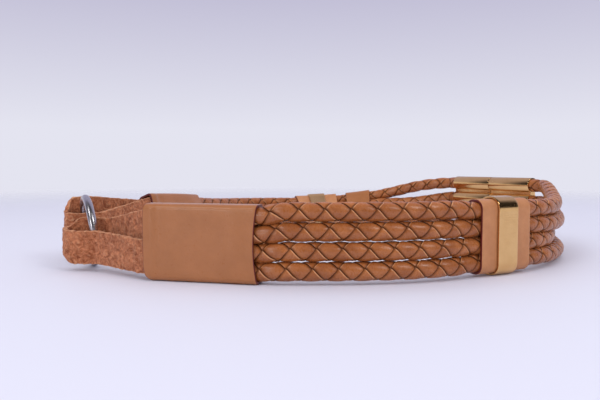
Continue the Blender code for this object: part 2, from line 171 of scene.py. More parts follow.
# --- The way that the two straps run -----------------------------------------------------------------
# The wraps, cords, cuffs, bands and binding follow the middle of their strap, from the ring to the clasp.
# A route's points are in millimetres, from before the belt is centred.
UP = Vector((0, 0, 1))
FIT = 0.3 * MM  # between pieces that meet
CORDS = 4
CORD = 7.9 * MM
WRAP_PITCH, FREE_PITCH, CLASP_PITCH = 8.25 * MM, 8.8 * MM, 11.2 * MM  # from cord to cord
WRAP_LENGTH, WRAP_WALL, WRAP_CORNER = 54.5 * MM, 1.2 * MM, 3.6 * MM
CUFF_LENGTH, CUFF_WALL = 32 * MM, 1.2 * MM
BAND_LENGTH, BAND_WALL = 12.6 * MM, 0.9 * MM
FRONT_CUFF, BACK_CUFF, BINDING = 158 * MM, 159 * MM, 199 * MM  # where each starts along its strap
BINDING_LENGTH = 19 * MM
RING_ACROSS, RING_WIRE = 37.4 * MM, 3.6 * MM
RING_HEADING, RING_TILT = 116.5, 6.0  # degrees
RING_CENTRE = Vector((-127.2, -70.7, 0)) * MM
CLASP_LENGTH, SOCKET = 71 * MM, 15 * MM
CLASP_HEADING = 120  # degrees from +X
CLASP_RUN = 8 * MM  # how far before the clasp the cords already run straight into it
CLASP_CENTRE = Vector((126.5, 59.7, 0)) * MM
CLASP_WALL = 1.0 * MM
BARREL = CORD + 2 * FIT + 2 * CLASP_WALL
CLASP_HEIGHT = (CORDS - 1) * CLASP_PITCH + BARREL
STACK = (CORDS - 1) * WRAP_PITCH + CORD
WRAP_HEIGHT = STACK + 2 * (FIT + WRAP_WALL)
WRAP_THICKNESS = CORD + 2 * (FIT + WRAP_WALL)
FRONT_HEADING, BACK_HEADING = -12.8, 62  # of the wraps, in degrees from +X
# Each point is (x, y, lean), the lean in degrees outward from upright.
FRONT_PLAN = (
    (-87.3, -107.5, 0), (-10, -121.6, 0), (10, -120.8, 0), (30, -117.8, 0), (48, -112, 0),
    (63, -104.2, 0), (74, -98.1, 0), (88, -90.3, 0), (99, -83.6, 0), (112, -71.5, 0),
    (122.5, -55, 0), (131.5, -36, 0), (139, -14, 0), (145, 6, 0),
)
BACK_PLAN = (
    (-109, -13, 20), (-72, 58, 45), (-58, 82, 50), (-38, 101, 54), (-15, 112, 56),
    (10, 116.5, 53), (36, 117, 44), (62, 113.5, 27), (86, 106, 8),
)


def heading(degrees):
    """The level direction at this angle from +X."""
    return Vector((math.cos(math.radians(degrees)), math.sin(math.radians(degrees)), 0))


def spline(knots, values, at):
    """A smooth curve through values, one at each knot."""
    last = len(knots) - 1
    i = min(max(0, sum(knot <= at for knot in knots) - 1), last - 1)

    def tangent(k):
        before, after = max(0, k - 1), min(last, k + 1)
        return (values[after] - values[before]) / (knots[after] - knots[before])

    span = knots[i + 1] - knots[i]
    t = (at - knots[i]) / span
    return (
        values[i] * (2 * t**3 - 3 * t**2 + 1)
        + tangent(i) * (span * (t**3 - 2 * t**2 + t))
        + values[i + 1] * (3 * t**2 - 2 * t**3)
        + tangent(i + 1) * (span * (t**3 - t**2))
    )


def smoothstep(share):
    share = min(1.0, max(0.0, share))
    return share * share * (3 - 2 * share)


# The ring's joint gives how far the belt was moved to stand centred.
joints = {joint["name"]: joint for joint in frame["record"]["behaviour"]["joints"]}
near_wire = RING_CENTRE - heading(RING_HEADING) * ((RING_ACROSS - RING_WIRE) / 2)
far_wire = RING_CENTRE + heading(RING_HEADING) * ((RING_ACROSS - RING_WIRE) / 2)
ring_place = joints["ring_turn"]["pos_m"]
SHIFT = Vector((ring_place[0] - near_wire.x, ring_place[1] - near_wire.y, 0))


class Route:
    """One strap's middle, by distance from the wrap's ring end.

    Each station is a distance, how far the cords are raised there, and their pitch.
    """

    def __init__(self, plan, wrap_heading, outward, mouth, into_clasp, stations):
        start = Vector((*plan[0][:2], 0)) * MM
        self.points = [start + heading(wrap_heading) * (WRAP_LENGTH * share) for share in (0, 0.5, 1.0, 1.15)]
        self.leans = [plan[0][2] + (plan[1][2] - plan[0][2]) * share * 0.7 for share in (0, 0.5, 1.0, 1.15)]
        for x, y, lean in plan[1:]:
            self.points.append(Vector((x, y, 0)) * MM)
            self.leans.append(lean)
        for beyond in (-CLASP_RUN, 0, SOCKET):
            self.points.append(mouth + into_clasp * beyond)
            self.leans.append(0)
        self.outward = outward
        self.knots = [0.0]
        for a, b in zip(self.points, self.points[1:]):
            self.knots.append(self.knots[-1] + (b - a).length)
        self.end = self.knots[-1]
        self.mouth = self.end - SOCKET
        self.stations = [*stations, (self.mouth, (CLASP_HEIGHT - WRAP_HEIGHT) / 2, CLASP_PITCH)]

    def level(self, at):
        """The rise above the wraps' height and the pitch of the cords."""
        before = max((s for s in self.stations if s[0] <= at), default=self.stations[0])
        after = min((s for s in self.stations if s[0] > at), default=self.stations[-1])
        share = smoothstep((at - before[0]) / max(after[0] - before[0], FIT))
        return tuple(before[k] + (after[k] - before[k]) * share for k in (1, 2))

    def frame(self, at):
        """(centre, along, up, outward), with up in the plane of the stacked cords."""
        near, far = max(0.0, at - MM), min(self.end, at + MM)
        along = (spline(self.knots, self.points, far) - spline(self.knots, self.points, near)).normalized()
        side = along.cross(UP) * self.outward
        lean = math.radians(max(0.0, spline(self.knots, self.leans, at)))
        up = UP * math.cos(lean) + side * math.sin(lean)
        flat_height = WRAP_HEIGHT / 2 - WRAP_CORNER
        flat_width = WRAP_THICKNESS / 2 - WRAP_CORNER
        resting = flat_height * math.cos(lean) + flat_width * math.sin(lean) + WRAP_CORNER
        centre = spline(self.knots, self.points, at) + UP * (resting + self.level(at)[0]) + SHIFT
        return centre, along, up, side * math.cos(lean) - UP * math.sin(lean)


clasp_way = heading(CLASP_HEADING)
front_mouth = CLASP_CENTRE - clasp_way * (CLASP_LENGTH / 2)
back_mouth = CLASP_CENTRE + clasp_way * (CLASP_LENGTH / 2)
FREE_RISE = 1.3 * MM
CUFF_RISE = BAND_WALL + FIT
SPREAD = 12 * MM  # over which the front cords spread apart after the wrap and close up at the cuff
front_route = Route(
    FRONT_PLAN,
    wrap_heading=FRONT_HEADING,
    outward=1,
    mouth=front_mouth,
    into_clasp=clasp_way,
    stations=(
        (0, 0, WRAP_PITCH),
        (WRAP_LENGTH, 0, WRAP_PITCH),
        (WRAP_LENGTH + SPREAD, FREE_RISE, FREE_PITCH),
        (FRONT_CUFF - SPREAD, FREE_RISE, FREE_PITCH),
        (FRONT_CUFF, CUFF_RISE, WRAP_PITCH),
        (FRONT_CUFF + CUFF_LENGTH, CUFF_RISE, WRAP_PITCH),
    ),
)
back_route = Route(
    BACK_PLAN,
    wrap_heading=BACK_HEADING,
    outward=-1,
    mouth=back_mouth,
    into_clasp=-clasp_way,
    stations=(
        (0, 0, WRAP_PITCH),
        (WRAP_LENGTH, 0, WRAP_PITCH),
        (BACK_CUFF, CUFF_RISE, WRAP_PITCH),
        (BINDING + BINDING_LENGTH, CUFF_RISE, WRAP_PITCH),
    ),
)

# --- The braided cords -------------------------------------------------------------------------------
# Each cord is four flat laces of glazed calf, plaited round a soft core: two wind to the right and two to
# the left, each over one and under the next. One cut edge of each lace is paler than the grain, partly the
# raw cut and partly a painted highlight, and painted shade darkens the crevices where a lace dives under the
# next. The cords are glued into the wraps and the clasp.
TWIST = 22.8 * MM  # one full turn of a lace
LACE_HALF_WIDTH = 3.9 * MM
LACE_HALF_THICK = 0.6 * MM
LACE_RADIUS = 3.28 * MM
LACE_SWELL = 0.55 * MM  # how far a lace rises over the one that it crosses
LACE_STEPS = 36  # along one turn
LACE_LAID = 3.4 * MM  # the radius at which a lace's width is laid round the core
CORD_STEP = 0.8 * MM  # between the places at which a cord's middle is worked out
CORD_TURNS = {"front": (27, 28, 35, 24), "back": (20, 75, 130, 185)}  # degrees, about their middles
CORD_STARTS = (0.342, 0.263, 0.013, 0.105)  # where each plait starts, in turns
# How far each cord strays outward and upward halfway from the cuff or binding to the clasp, in mm.
STRAY = {
    "front": ((1.5, -3.5, 1.5, 0.0), (-0.8, -1.0, -3.2, -3.0)),
    "back": ((0.0, 0.0, 0.0, 0.0), (0.0, -1.3, -2.8, 0.4)),
}
CORD_GRIP = 24 * MM  # how far a cord reaches into its wrap
BRAID_LIGHT = (0.43, 0.141, 0.039, 1)
BRAID_DARK = (0.30, 0.088, 0.022, 1)
# one cut edge's colour: the raw cut's paler tone, made lighter still as a painted highlight
BRAID_EDGE_AND_HIGHLIGHT = (0.66, 0.30, 0.13, 1)
# painted shade for the crevices between laces, and how far the ambient occlusion looks for a lace close by
PAINTED_CREVICE_SHADE = (0.045, 0.012, 0.005, 1)
PAINTED_SHADE_REACH = 1.6 * MM


def grid_mesh(name, rows, closed, uvs=None):
    """A mesh from rows of points, with each row closed into a loop or left open."""
    count = len(rows[0])
    verts = [point for row in rows for point in row]
    wide = count if closed else count - 1
    faces = []
    for r in range(len(rows) - 1):
        for c in range(wide):
            n = (c + 1) % count
            faces.append((r * count + c, (r + 1) * count + c, (r + 1) * count + n, r * count + n))
    mesh = bpy.data.meshes.new(name)
    mesh.from_pydata(verts, [], faces)
    if uvs is not None:
        layer = mesh.uv_layers.new(name="UVMap")
        flat = np.empty(len(mesh.loops) * 2, np.float32)
        index = np.empty(len(mesh.loops), np.int32)
        mesh.loops.foreach_get("vertex_index", index)
        table = np.array([pair for row in uvs for pair in row], np.float32)
        flat[:] = table[index].reshape(-1)
        layer.data.foreach_set("uv", flat)
    made = bpy.data.objects.new(name, mesh)
    scene.collection.objects.link(made)
    return made


def pick(made):
    """Makes this the only selected and active object."""
    bpy.ops.object.select_all(action="DESELECT")
    made.select_set(True)
    bpy.context.view_layer.objects.active = made


def fill_ends(made):
    """Closes the open ends of a tube and turns its faces outward."""
    pick(made)
    bpy.ops.object.mode_set(mode="EDIT")
    bpy.ops.mesh.select_all(action="SELECT")
    bpy.ops.mesh.region_to_loop()
    bpy.ops.mesh.fill_holes(sides=0)
    bpy.ops.mesh.select_all(action="SELECT")
    bpy.ops.mesh.normals_make_consistent(inside=False)
    bpy.ops.object.mode_set(mode="OBJECT")


def cord_axis(strap, route, which):
    """The cord's middle and two directions square to it, at close steps along the route."""
    outs, ups = STRAY[strap]
    bound = FRONT_CUFF + CUFF_LENGTH if strap == "front" else BINDING + BINDING_LENGTH
    start, stop = WRAP_LENGTH - CORD_GRIP, route.end - FIT
    count = int((stop - start) / CORD_STEP)
    places = np.linspace(start, stop, count)
    middles, sides, tops = [], [], []
    for at in places:
        centre, _, up, side = route.frame(at)
        share = min(1.0, max(0.0, (at - bound) / (route.mouth - bound)))
        swell = (1 - math.cos(2 * math.pi * share)) / 2
        climb = (which - (CORDS - 1) / 2) * route.level(at)[1] + ups[which] * MM * swell
        middles.append(centre + up * climb + side * outs[which] * MM * swell)
        sides.append(side)
        tops.append(up)
    middles = np.array(middles)
    along = np.gradient(middles, axis=0)
    along /= np.linalg.norm(along, axis=1)[:, None]
    sides = np.array(sides)
    sides -= along * (sides * along).sum(1)[:, None]
    sides /= np.linalg.norm(sides, axis=1)[:, None]
    tops = np.array(tops)
    tops -= along * (tops * along).sum(1)[:, None] + sides * (tops * sides).sum(1)[:, None]
    tops /= np.linalg.norm(tops, axis=1)[:, None]
    return places, middles, sides, tops


# A lace's section from edge to edge and back, in shares of its half width and of its half thickness.
LACE_SECTION = (
    (-1, 0.35), (-0.97, 0.66), (-0.9, 0.84), (-0.7, 0.95), (-0.35, 1.02), (0, 1.05), (0.35, 1.02),
    (0.7, 0.95), (0.9, 0.84), (0.97, 0.66), (1, 0.35), (0.9, -0.8), (0, -1), (-0.9, -0.8),
)


def braid(strap, route, which):
    """The four laces of one cord, joined as one piece."""
    places, middles, sides, tops = cord_axis(strap, route, which)
    turn = math.radians(CORD_TURNS[strap][which])
    phase = CORD_STARTS[which] * TWIST
    slope = math.atan(2 * math.pi * LACE_LAID / TWIST)
    laces = []
    for hand, half_turn in ((1, 0), (1, 1), (-1, 0), (-1, 1)):
        reach = LACE_HALF_WIDTH * math.sin(slope)
        count = int((places[-1] - places[0] - 2 * reach) / TWIST * LACE_STEPS)
        along = np.linspace(places[0] + reach, places[-1] - reach, count)
        angle = hand * 2 * math.pi * (along + phase) / TWIST + half_turn * math.pi
        over = hand * np.cos(4 * math.pi * (along + phase) / TWIST)
        lift = LACE_RADIUS + LACE_SWELL * np.tanh(1.3 * over) / math.tanh(1.3)
        rows, uvs = [], []
        for q, height in LACE_SECTION:
            across = q * LACE_HALF_WIDTH
            z = along - hand * across * math.sin(slope)
            theta = turn + angle + across * math.cos(slope) / LACE_LAID
            radius = lift + height * LACE_HALF_THICK
            middle = np.stack([np.interp(z, places, middles[:, k]) for k in range(3)], 1)
            side = np.stack([np.interp(z, places, sides[:, k]) for k in range(3)], 1)
            top = np.stack([np.interp(z, places, tops[:, k]) for k in range(3)], 1)
            outward = side * np.cos(theta)[:, None] + top * np.sin(theta)[:, None]
            rows.append(middle + outward * radius[:, None])
            # the UV holds the place across the lace and how far it lies over the other lace, for the painted
            # edge highlight and the painted crevice shade
            uvs.append(np.stack([np.full(count, (q + 1) / 2), (over + 1) / 2], 1))
        rows = np.stack(rows, 1).tolist()
        uvs = np.stack(uvs, 1).tolist()
        made = grid_mesh("lace", rows, True, uvs)
        fill_ends(made)
        laces.append(made)
    pick(laces[0])
    for made in laces:
        made.select_set(True)
    bpy.ops.object.join()
    made = bpy.context.object
    made.name = f"{strap}_braid_{which + 1}"
    made.data.name = made.name
    bpy.ops.object.shade_smooth()
    return made


def plaited(tree, colour, edge):
    """A lace's colour, with one cut edge paler (its raw cut and a painted highlight), painted shade in the
    crevices, and its shine, which fades in the crevices.
    """
    strip = node(tree, "ShaderNodeUVMap", uv_map="UVMap")
    split = node(tree, "ShaderNodeSeparateXYZ", {0: strip.outputs[0]})
    across, over = split.outputs[0], split.outputs[1]
    # painted highlight on the raw cut: one edge of the lace turns paler
    colour = mixed(tree, ranged(tree, across, 0.935, 0.965, 0.0, 0.9), colour, edge)
    # painted shade: darker where the lace dives under the next one, and again where ambient occlusion finds a
    # lace close by
    colour = mixed(tree, ranged(tree, over, 0.50, 0.73, 0.95, 0.0), colour, PAINTED_CREVICE_SHADE)
    occlusion = node(tree, "ShaderNodeAmbientOcclusion", {"Distance": PAINTED_SHADE_REACH}, samples=8, only_local=True)
    colour = mixed(tree, ranged(tree, occlusion.outputs["AO"], 0.48, 0.88), PAINTED_CREVICE_SHADE, colour)
    return colour, ranged(tree, over, 0.50, 0.78, 0.0, 0.5)


def leather(name, light, dark, grain, gloss, edge=None, coat=0.12, bump=0.12):
    """Dyed calf: two tones in soft clouds and fine pores. Where edge is a colour, it is a plaited lace, with
    a painted highlight on one cut edge and painted shade in its crevices.
    """
    made = bpy.data.materials.new(name)
    tree = node_tree(made)
    place = node(tree, "ShaderNodeTexCoord").outputs["Object"]
    clouds = noise(tree, place, scale=120, detail=4, roughness=0.6)
    colour = mixed(tree, ranged(tree, clouds, 0.36, 0.66), dark, light)
    specular = 0.38
    if edge is not None:
        colour, specular = plaited(tree, colour, edge)
    pores = node(tree, "ShaderNodeTexVoronoi", {"Vector": place, "Scale": grain, "Randomness": 1.0})
    creases = noise(tree, place, scale=700, detail=6, roughness=0.65)
    relief = node(tree, "ShaderNodeMath", {0: pores.outputs["Distance"], 1: creases}, operation="ADD")
    bumps = node(tree, "ShaderNodeBump", {"Strength": bump, "Distance": 0.0004, "Height": relief.outputs[0]})
    surface = node(
        tree,
        "ShaderNodeBsdfPrincipled",
        {
            "Base Color": colour,
            "Roughness": ranged(tree, creases, 0.3, 0.7, gloss - 0.07, gloss + 0.09),
            "Normal": bumps.outputs[0],
            "Coat Weight": coat,
            "Coat Roughness": 0.22,
            "Specular IOR Level": specular,
        },
    )
    node(tree, "ShaderNodeOutputMaterial", {"Surface": surface.outputs[0]})
    return made


braided = leather(
    "braided calf", BRAID_LIGHT, BRAID_DARK, grain=1500, gloss=0.28, edge=BRAID_EDGE_AND_HIGHLIGHT, coat=0.0
)
for strap, route in (("front", front_route), ("back", back_route)):
    for which in range(CORDS):
        made = braid(strap, route, which)
        made.data.materials.clear()
        made.data.materials.append(braided)
        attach(made, f"{strap}_half")
        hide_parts(f"{strap}_cord_{which + 1}")

# --- The wraps ---------------------------------------------------------------------------------------
# A wrap is a piece of smooth calf folded flat round the ends of the cords and of the suede strap. Its
# mouth is cut a little hollow and painted oxblood, and its corners at the ring end are turned in.
SMOOTH_LIGHT = (0.394, 0.144, 0.047, 1)
SMOOTH_DARK = (0.358, 0.130, 0.041, 1)
EDGE_PAINT = (0.16, 0.022, 0.018, 1)
EDGE_PAINT_WORN = (0.10, 0.012, 0.012, 1)
WRAP_HOLLOW = 1.8 * MM
WRAP_TURN_IN = 2.2 * MM
WRAP_LOWER, WRAP_SHARPER = 0.3 * MM, 0.9 * MM  # how much lower and sharper-cornered it is folded


def rounded_oblong(half_width, half_height, corner, steps, straight):
    """The outline of a rectangle with round corners, as (across, up), with its long sides divided."""
    outline = []
    for quarter, (sx, sy) in enumerate(((1, 1), (-1, 1), (-1, -1), (1, -1))):
        for k in range(steps + 1):
            angle = math.radians(90) * (quarter + k / steps)
            across = sx * (half_width - corner) + corner * math.cos(angle)
            outline.append((across, sy * (half_height - corner) + corner * math.sin(angle)))
        if quarter in (1, 3):
            top, low = outline[-1], (outline[-1][0], -outline[-1][1])
            for k in range(1, straight):
                outline.append((top[0], top[1] + (low[1] - top[1]) * k / straight))
    return outline


def sleeve(name, route, start, length, outside, wall, step, shape, bevel, made_of):
    """A flat tube along the route. Its shape moves each point along and outward, by its place on the tube."""
    thickness, height, corner = outside
    outline = rounded_oblong(thickness / 2, height / 2, corner, steps=7, straight=14)
    count = math.ceil(length / step)
    rows, uvs = [], []
    for k in range(count + 1):
        row, marks = [], []
        for n, (across, rise) in enumerate(outline):
            slide, puff = shape(k / count, rise / height * 2, across / thickness * 2)
            centre, _, up, side = route.frame(start + length * k / count + slide)
            grow = 1 + puff / (thickness / 2)
            row.append(centre + side * (across * grow) + up * rise)
            marks.append((n / len(outline), k / count))
        rows.append(row)
        uvs.append(marks)
    made = grid_mesh(name, rows, True, uvs)
    for surface in made_of:
        made.data.materials.append(surface)
    pick(made)
    bpy.ops.object.mode_set(mode="EDIT")
    bpy.ops.mesh.select_all(action="SELECT")
    bpy.ops.mesh.normals_make_consistent(inside=False)
    bpy.ops.object.mode_set(mode="OBJECT")
    thick = made.modifiers.new("wall", "SOLIDIFY")
    thick.thickness = wall
    thick.offset = -1
    thick.use_even_offset = True
    thick.material_offset_rim = 1
    bpy.ops.object.modifier_apply(modifier=thick.name)
    soft = made.modifiers.new("edge", "BEVEL")
    soft.width = bevel
    soft.segments = 2
    soft.limit_method = "ANGLE"
    soft.angle_limit = math.radians(50)
    soft.material = 1 if shape is wrap_shape else -1
    bpy.ops.object.modifier_apply(modifier=soft.name)
    bpy.ops.object.shade_smooth_by_angle(angle=math.radians(40))
    return made


def wrap_shape(share, rise, across):
    """Hollows the mouth, turns in the ring end's corners and leaves the sides a little full."""
    slide = -WRAP_HOLLOW * (1 - rise * rise) * smoothstep((share - 0.8) / 0.2)
    turned_in = WRAP_TURN_IN * (0.4 if rise > 0 else 1.5)
    slide += turned_in * rise**8 * smoothstep((0.12 - share) / 0.12)
    ripple = math.sin(3.1 * share * math.pi + 1.4 * rise) * 0.12 + math.sin(7 * rise + 4 * share) * 0.06
    rolled = 0.5 * math.exp(-(((share - 0.075) / 0.03) ** 2))
    rolled -= 0.3 * math.exp(-(((share - 0.15) / 0.05) ** 2))
    over_cords = 0.45 * math.exp(-(((share - 0.8) / 0.1) ** 2)) * (1 - rise * rise)
    return slide, (ripple + rolled + over_cords) * MM * abs(across)


smooth = leather("smooth calf", SMOOTH_LIGHT, SMOOTH_DARK, grain=2600, gloss=0.32, coat=0.2, bump=0.15)
paint = leather("edge paint", EDGE_PAINT, EDGE_PAINT_WORN, grain=2200, gloss=0.42, bump=0.05)
for strap, route in (("front", front_route), ("back", back_route)):
    made = sleeve(
        f"{strap}_leather_wrap",
        route,
        start=0,
        length=WRAP_LENGTH,
        outside=(WRAP_THICKNESS, WRAP_HEIGHT - WRAP_LOWER, WRAP_CORNER - WRAP_SHARPER),
        wall=WRAP_WALL,
        step=1.5 * MM,
        shape=wrap_shape,
        bevel=0.3 * MM,
        made_of=(smooth, paint),
    )
    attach(made, f"{strap}_half")
    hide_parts(f"{strap}_wrap")

# --- The cuffs, their gilt bands and the binding -----------------------------------------------------
# A cuff is a wider band of paler calf round the four cords, with oxblood edges. A gilt brass band is
# pressed round its middle, polished and scratched by use. The back strap has a plain leather binding too.
CUFF_LIGHT = (0.55, 0.234, 0.094, 1)
CUFF_DARK = (0.465, 0.186, 0.071, 1)
CUFF_SHARPER = 0.6 * MM  # how much sharper its corners are than the cords are round
GOLD_LIGHT = (0.86, 0.55, 0.25, 1)
GOLD_DARK = (0.70, 0.41, 0.16, 1)


def straight_shape(share, rise, across):
    """A plain cut end and a flat wall."""
    return 0.0, 0.0


def metal(name, light, dark, roughness):
    """Polished plate with hair scratches and a few dull specks."""
    made = bpy.data.materials.new(name)
    tree = node_tree(made)
    place = node(tree, "ShaderNodeTexCoord").outputs["Object"]
    drawn = node(tree, "ShaderNodeMapping", {"Vector": place, "Scale": (40, 40, 900)})
    hairs = noise(tree, drawn.outputs[0], scale=3, detail=8, roughness=0.7)
    tone = mixed(tree, noise(tree, place, scale=160, detail=3, roughness=0.5), dark, light)
    specks = node(tree, "ShaderNodeTexVoronoi", {"Vector": place, "Scale": 420})
    speck = ranged(tree, specks.outputs["Distance"], 0.03, 0.09, 0.35, 0.0)
    gloss = ranged(tree, hairs, 0.35, 0.7, roughness, roughness + 0.12)
    dull = node(tree, "ShaderNodeMath", {0: gloss, 1: speck}, operation="ADD")
    bumps = node(tree, "ShaderNodeBump", {"Strength": 0.06, "Distance": 0.0002, "Height": hairs})
    surface = node(
        tree,
        "ShaderNodeBsdfPrincipled",
        {"Base Color": tone, "Metallic": 1.0, "Roughness": dull.outputs[0], "Normal": bumps.outputs[0]},
    )
    node(tree, "ShaderNodeOutputMaterial", {"Surface": surface.outputs[0]})
    return made


cuff_calf = leather("cuff calf", CUFF_LIGHT, CUFF_DARK, grain=2400, gloss=0.42, coat=0.06, bump=0.2)
gold = metal("gilt plate", GOLD_LIGHT, GOLD_DARK, roughness=0.10)
lining = 2 * (FIT + CUFF_WALL)
cuff_outside = (CORD + lining, STACK + lining, CORD / 2 + CUFF_WALL - CUFF_SHARPER)
grow = 2 * (FIT + BAND_WALL)
band_outside = (cuff_outside[0] + grow, cuff_outside[1] + grow, cuff_outside[2] + grow / 2)
for strap, route, start in (("front", front_route, FRONT_CUFF), ("back", back_route, BACK_CUFF)):
    cuff = sleeve(
        f"{strap}_leather_cuff",
        route,
        start=start,
        length=CUFF_LENGTH,
        outside=cuff_outside,
        wall=CUFF_WALL,
        step=1.5 * MM,
        shape=straight_shape,
        bevel=0.25 * MM,
        made_of=(cuff_calf, paint),
    )
    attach(cuff, f"{strap}_half")
    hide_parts(f"{strap}_cuff")
    band_start = start + (CUFF_LENGTH - BAND_LENGTH) / 2
    band = sleeve(
        f"{strap}_band",
        route,
        start=band_start,
        length=BAND_LENGTH,
        outside=band_outside,
        wall=BAND_WALL,
        step=1.2 * MM,
        shape=straight_shape,
        bevel=0.2 * MM,
        made_of=(gold, gold),
    )
    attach(band, f"{strap}_half")
    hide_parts(f"{strap}_gilt_band")

binding = sleeve(
    "back_leather_binding",
    back_route,
    start=BINDING,
    length=BINDING_LENGTH,
    outside=cuff_outside,
    wall=CUFF_WALL,
    step=1.5 * MM,
    shape=straight_shape,
    bevel=0.25 * MM,
    made_of=(smooth, paint),
)
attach(binding, "back_half")
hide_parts("back_binding")

# --- The suede straps --------------------------------------------------------------------------------
# Each is one band of thick suede, skived narrow where it goes through the ring and full width where it
# comes back into the wrap. Its nap stands up all over, and a painted sheen pales its cut edges and bumps.
STRAP_THICK = 2.6 * MM
STRAP_WIDE, STRAP_NARROW = 30 * MM, 16.8 * MM
STRAP_GRIP = 28 * MM  # how far a strap reaches into its wrap
STRAP_OFFSET = (CORD - STRAP_THICK) / 2
RING_ROOM, RING_REACH = 0.6 * MM, 6.5 * MM
FRONT_WAY, BACK_WAY = 171, 226  # where each fold points, in degrees from +X
FRONT_FOLD, BACK_FOLD = 11 * MM, 6 * MM  # from the ring's wire to where the fold's round begins
PAST_WIRE = 4 * MM  # how far a strap runs straight on each side of the wire
SUEDE_STEP = 0.6 * MM
NAP_ROOM = 0.3 * MM  # taken off the strap's thickness, for its nap to stand on
NAP = ((2.6 * MM, 0.9 * MM), (0.9 * MM, 0.5 * MM))  # the width and height of its waves, coarse and fine
SUEDE_DARK, SUEDE_LIGHT = (0.215, 0.052, 0.019, 1), (0.58, 0.215, 0.10, 1)
# the painted sheen's colour, laid on the cut edges and the nap's bumps
SUEDE_PAINTED_SHEEN = (0.70, 0.37, 0.20, 1)


def suede_rows(route, wire, way, inward, fold, passes):
    """The lower and upper edge of the strap, from inside the wrap round the ring's wire and back."""
    outside = RING_WIRE / 2 + RING_ROOM + STRAP_THICK / 2
    radius = (outside + RING_REACH) / 2
    middle = wire + way * fold + inward * (RING_REACH - outside) / 2
    at_wrap, at_wire, at_tip, in_ring, into_wrap = passes

    def in_wrap(grip, offset, heights):
        centre, _, up, side = route.frame(grip)
        base = centre + side * offset - up * WRAP_HEIGHT / 2
        return base + up * heights[0], base + up * heights[1]

    def free(place, heights):
        return place + UP * heights[0], place + UP * heights[1]

    def between(first, second):
        return tuple((a + b) / 2 for a, b in zip(first, second))

    back = way * -PAST_WIRE
    rows = [in_wrap(STRAP_GRIP * share, STRAP_OFFSET, at_wrap) for share in (1, 0.5, 0.15, 0)]
    rows.append(free(wire + back - inward * outside, at_wire))
    rows.append(free(wire - back - inward * outside, at_wire))
    heights = (at_wire, between(at_wire, at_tip), at_tip, at_tip, at_tip, between(at_tip, in_ring), in_ring)
    for k in range(7):
        angle = math.pi * k / 6
        place = middle - inward * (radius * math.cos(angle)) + way * (radius * math.sin(angle))
        rows.append(free(place, heights[k]))
    rows.append(free(wire + inward * RING_REACH, in_ring))
    rows.append(free(wire + back * 1.6 + inward * RING_REACH * 0.95, in_ring))
    rows += [in_wrap(STRAP_GRIP * share, -STRAP_OFFSET, into_wrap) for share in (0, 0.15, 0.5, 1)]
    return [row[0] for row in rows], [row[1] for row in rows]


def suede_strap(name, lows, highs):
    """The band between the two edges, given its thickness, rounded edges and a napped skin."""
    knots = [0.0]
    for a, b in zip(lows, lows[1:]):
        knots.append(knots[-1] + (b.xy - a.xy).length)
    columns = int(knots[-1] / SUEDE_STEP)
    ats = [knots[-1] * k / columns for k in range(columns + 1)]
    edges = [np.array([spline(knots, side, at) for at in ats]) for side in (lows, highs)]
    for _ in range(14):
        for edge in edges:
            edge[1:-1] = (edge[:-2] + 2 * edge[1:-1] + edge[2:]) / 4
    shares = np.linspace(0, 1, 31)[None, :, None]
    rows = (edges[0][:, None] * (1 - shares) + edges[1][:, None] * shares).tolist()
    made = grid_mesh(name, rows, False)
    pick(made)
    thick = made.modifiers.new("thickness", "SOLIDIFY")
    thick.thickness = STRAP_THICK - NAP_ROOM
    thick.offset = 0
    thick.use_even_offset = True
    bpy.ops.object.modifier_apply(modifier=thick.name)
    soft = made.modifiers.new("edge", "BEVEL")
    soft.width = 1.05 * MM
    soft.segments = 4
    soft.limit_method = "ANGLE"
    soft.angle_limit = math.radians(60)
    bpy.ops.object.modifier_apply(modifier=soft.name)
    bpy.ops.object.mode_set(mode="EDIT")
    bpy.ops.mesh.select_all(action="SELECT")
    bpy.ops.mesh.normals_make_consistent(inside=False)
    bpy.ops.object.mode_set(mode="OBJECT")
    for size, strength in NAP:
        nap = bpy.data.textures.new("nap", "CLOUDS")
        nap.noise_scale = size
        lift = made.modifiers.new("nap", "DISPLACE")
        lift.texture = nap
        lift.texture_coords = "LOCAL"
        lift.strength = strength
        lift.mid_level = 0.5
        bpy.ops.object.modifier_apply(modifier=lift.name)
    bpy.ops.object.shade_smooth()
    return made


def suede_finish():
    """Brown suede: mottled nap in two tones, a painted sheen that pales its sharper edges and bumps, and a
    rough fibrous skin.
    """
    made = bpy.data.materials.new("suede nap")
    tree = node_tree(made)
    place = node(tree, "ShaderNodeTexCoord").outputs["Object"]
    clouds = noise(tree, place, scale=330, detail=8, roughness=0.72, distortion=1.3)
    mottle = node(tree, "ShaderNodeValToRGB", {0: clouds})
    dark, light = mottle.color_ramp.elements
    dark.position, dark.color = 0.38, SUEDE_DARK
    light.position, light.color = 0.62, SUEDE_LIGHT
    # painted sheen: paler where the surface is sharply convex, along the cut edges and on the nap's bumps
    sharpness = node(tree, "ShaderNodeNewGeometry").outputs["Pointiness"]
    nap = mixed(tree, ranged(tree, sharpness, 0.505, 0.55, 0.0, 0.75), mottle.outputs[0], SUEDE_PAINTED_SHEEN)
    fibres = noise(tree, place, scale=1500, detail=6, roughness=0.8)
    bumps = node(tree, "ShaderNodeBump", {"Strength": 0.8, "Distance": 0.0006, "Height": fibres})
    surface = node(
        tree,
        "ShaderNodeBsdfPrincipled",
        {
            "Base Color": nap,
            "Roughness": 0.95,
            "Normal": bumps.outputs[0],
            "Sheen Weight": 0.3,
            "Sheen Roughness": 0.5,
            "Sheen Tint": (0.85, 0.62, 0.50, 1),
            "Specular IOR Level": 0.1,
        },
    )
    node(tree, "ShaderNodeOutputMaterial", {"Surface": surface.outputs[0]})
    return made


suede = suede_finish()
